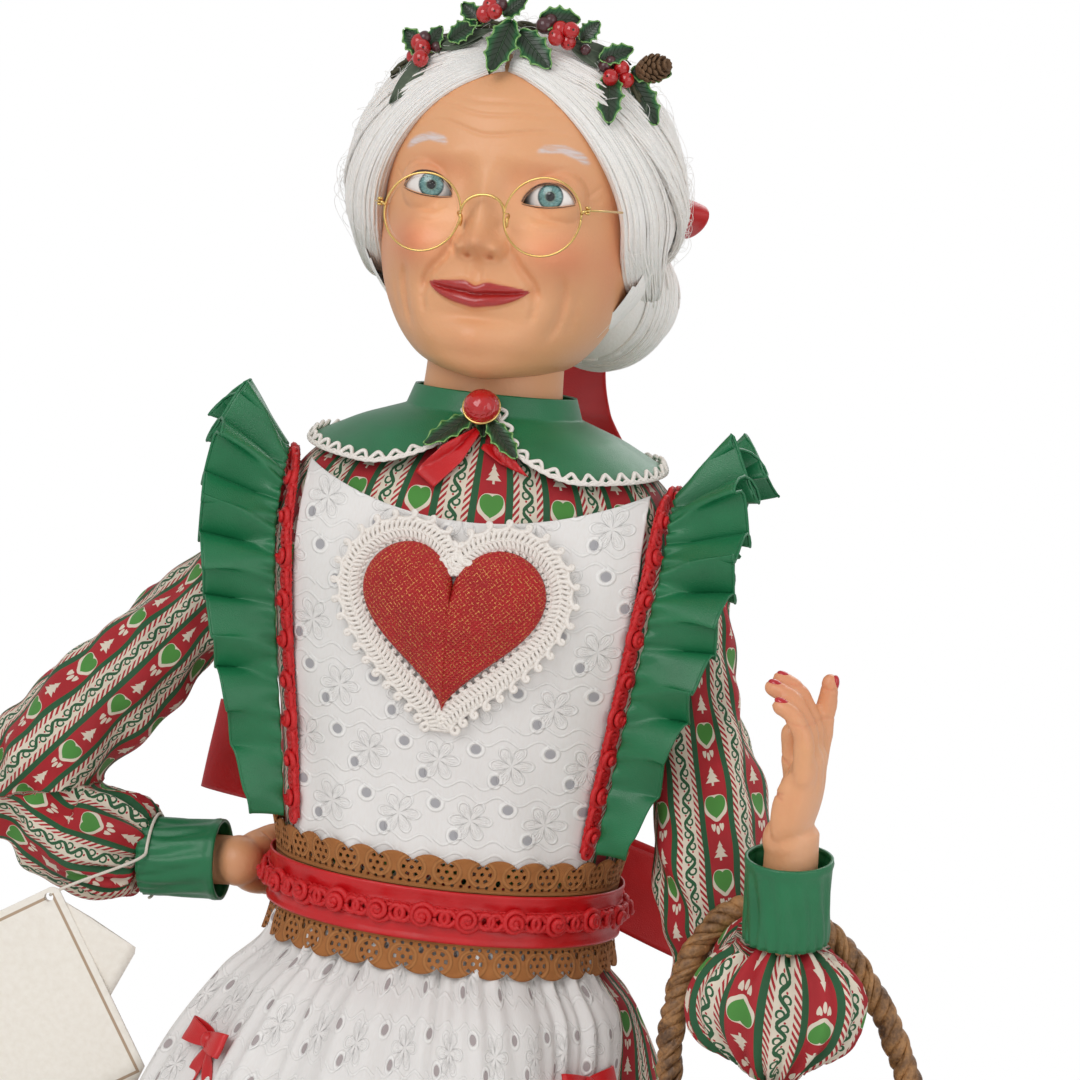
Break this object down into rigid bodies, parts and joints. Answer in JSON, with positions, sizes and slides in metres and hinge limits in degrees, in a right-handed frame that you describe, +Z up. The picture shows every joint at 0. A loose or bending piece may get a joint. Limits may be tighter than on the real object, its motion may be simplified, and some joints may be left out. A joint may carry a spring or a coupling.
{
  "type": "christmas doll",
  "caption": "Standing grandmother Christmas doll on a turned stand, in a printed gown with eyelet apron, satin ruffles and a heart, with a basket on one arm.",
  "frame": {"origin": "centre of the base's underside", "axes": "+Z up; the doll faces -Y and its left hand is on +X"},
  "size_m": [0.3955, 0.2846, 0.81],
  "materials": {
    "wood": "satin",
    "steel": "brushed",
    "stocking": "ribbed knit",
    "boot_leather": "polished",
    "muslin": "matt woven",
    "print": "woven print",
    "eyelet": "embroidered eyelet",
    "ginger_lace": "matt lace",
    "red_satin": "satin",
    "red_braid": "corded",
    "sparkle_mesh": "metallic mesh",
    "white_gimp": "corded",
    "green_satin": "satin",
    "berry": "gloss",
    "holly": "satin",
    "resin": "painted, semi-matt",
    "eye_glass": "gloss",
    "mohair": "soft fibre",
    "gold_wire": "polished",
    "lens": "clear",
    "willow": "twisted vine",
    "card": "matt",
    "tag_cord": "twisted"
  },
  "bodies": {
    "figure": {"base_disc": "wood", "stand_rod": "steel", "leg_left": "stocking", "leg_right": "stocking", "boot_left": "boot_leather", "boot_right": "boot_leather", "torso": "muslin", "bodice": "print", "gown_skirt": "print", "apron_skirt": "eyelet", "waist_lace": "ginger_lace", "waist_ribbon": "red_satin", "waist_braid": "red_braid", "apron_bib": "eyelet", "heart_patch": "sparkle_mesh", "heart_braid": "white_gimp", "collar": "green_satin", "collar_trim": "white_gimp", "brooch_button": "berry", "brooch_leaves": "holly", "brooch_ribbon": "red_satin", "ruffle_left": "green_satin", "ruffle_right": "green_satin", "ruffle_braid_left": "red_braid", "ruffle_braid_right": "red_braid", "sash_bow": "red_satin", "sash_tail_left": "red_satin", "sash_tail_right": "red_satin", "apron_bow_left": "red_satin", "apron_bow_right": "red_satin"},
    "head": {"head": "resin", "eye_left": "eye_glass", "eye_right": "eye_glass", "wig": "mohair", "bun": "mohair", "hair_bow": "red_satin", "spectacles_frame": "gold_wire", "lens_left": "lens", "lens_right": "lens", "temple_left": "gold_wire", "temple_right": "gold_wire", "wreath_holly": "holly", "berries_outer_right": "berry", "berries_top": "berry", "berries_outer_left": "berry"},
    "left_upper_arm": {"upper_sleeve_left": "print", "arm_core_left": "muslin"},
    "left_forearm": {"lower_sleeve_left": "print", "cuff_left": "green_satin"},
    "left_hand": {"hand_left": "resin"},
    "basket": {"basket_bowl": "willow", "basket_handle": "willow"},
    "right_upper_arm": {"upper_sleeve_right": "print", "arm_core_right": "muslin"},
    "right_forearm": {"lower_sleeve_right": "print", "cuff_right": "green_satin", "hand_right": "resin", "swing_tag": "card", "care_tag": "card", "tag_cord": "tag_cord"}
  },
  "joints": [
    {"name": "neck_turn", "type": "hinge", "parent": "figure", "child": "head", "pos_m": [-0.001, 0, 0.658], "axis": [0, 0, 1], "range_deg": [-20, 20]},
    {"name": "left_shoulder", "type": "hinge", "parent": "figure", "child": "left_upper_arm", "pos_m": [0.076, 0, 0.604], "axis": [0, -1, 0], "range_deg": [0, 8]},
    {"name": "left_elbow", "type": "hinge", "parent": "left_upper_arm", "child": "left_forearm", "pos_m": [0.11171, -0.03173, 0.4597], "axis": [-0.235, 0.2087, 0.9493], "range_deg": [0, 15]},
    {"name": "left_wrist", "type": "hinge", "parent": "left_forearm", "child": "left_hand", "pos_m": [0.131, -0.08, 0.491], "axis": [-0.0591, -0.1577, 0.9857], "range_deg": [-25, 25]},
    {"name": "basket_swing", "type": "hinge", "parent": "left_forearm", "child": "basket", "pos_m": [0.11981, -0.052, 0.47285], "axis": [0, -1, 0], "range_deg": [0, 15]},
    {"name": "right_shoulder", "type": "hinge", "parent": "figure", "child": "right_upper_arm", "pos_m": [-0.076, 0, 0.604], "axis": [0, 1, 0], "range_deg": [0, 8]},
    {"name": "right_elbow", "type": "hinge", "parent": "right_upper_arm", "child": "right_forearm", "pos_m": [-0.1764, 0.01213, 0.49052], "axis": [0.6605, -0.0798, 0.7466], "range_deg": [0, 6]}
  ]
}
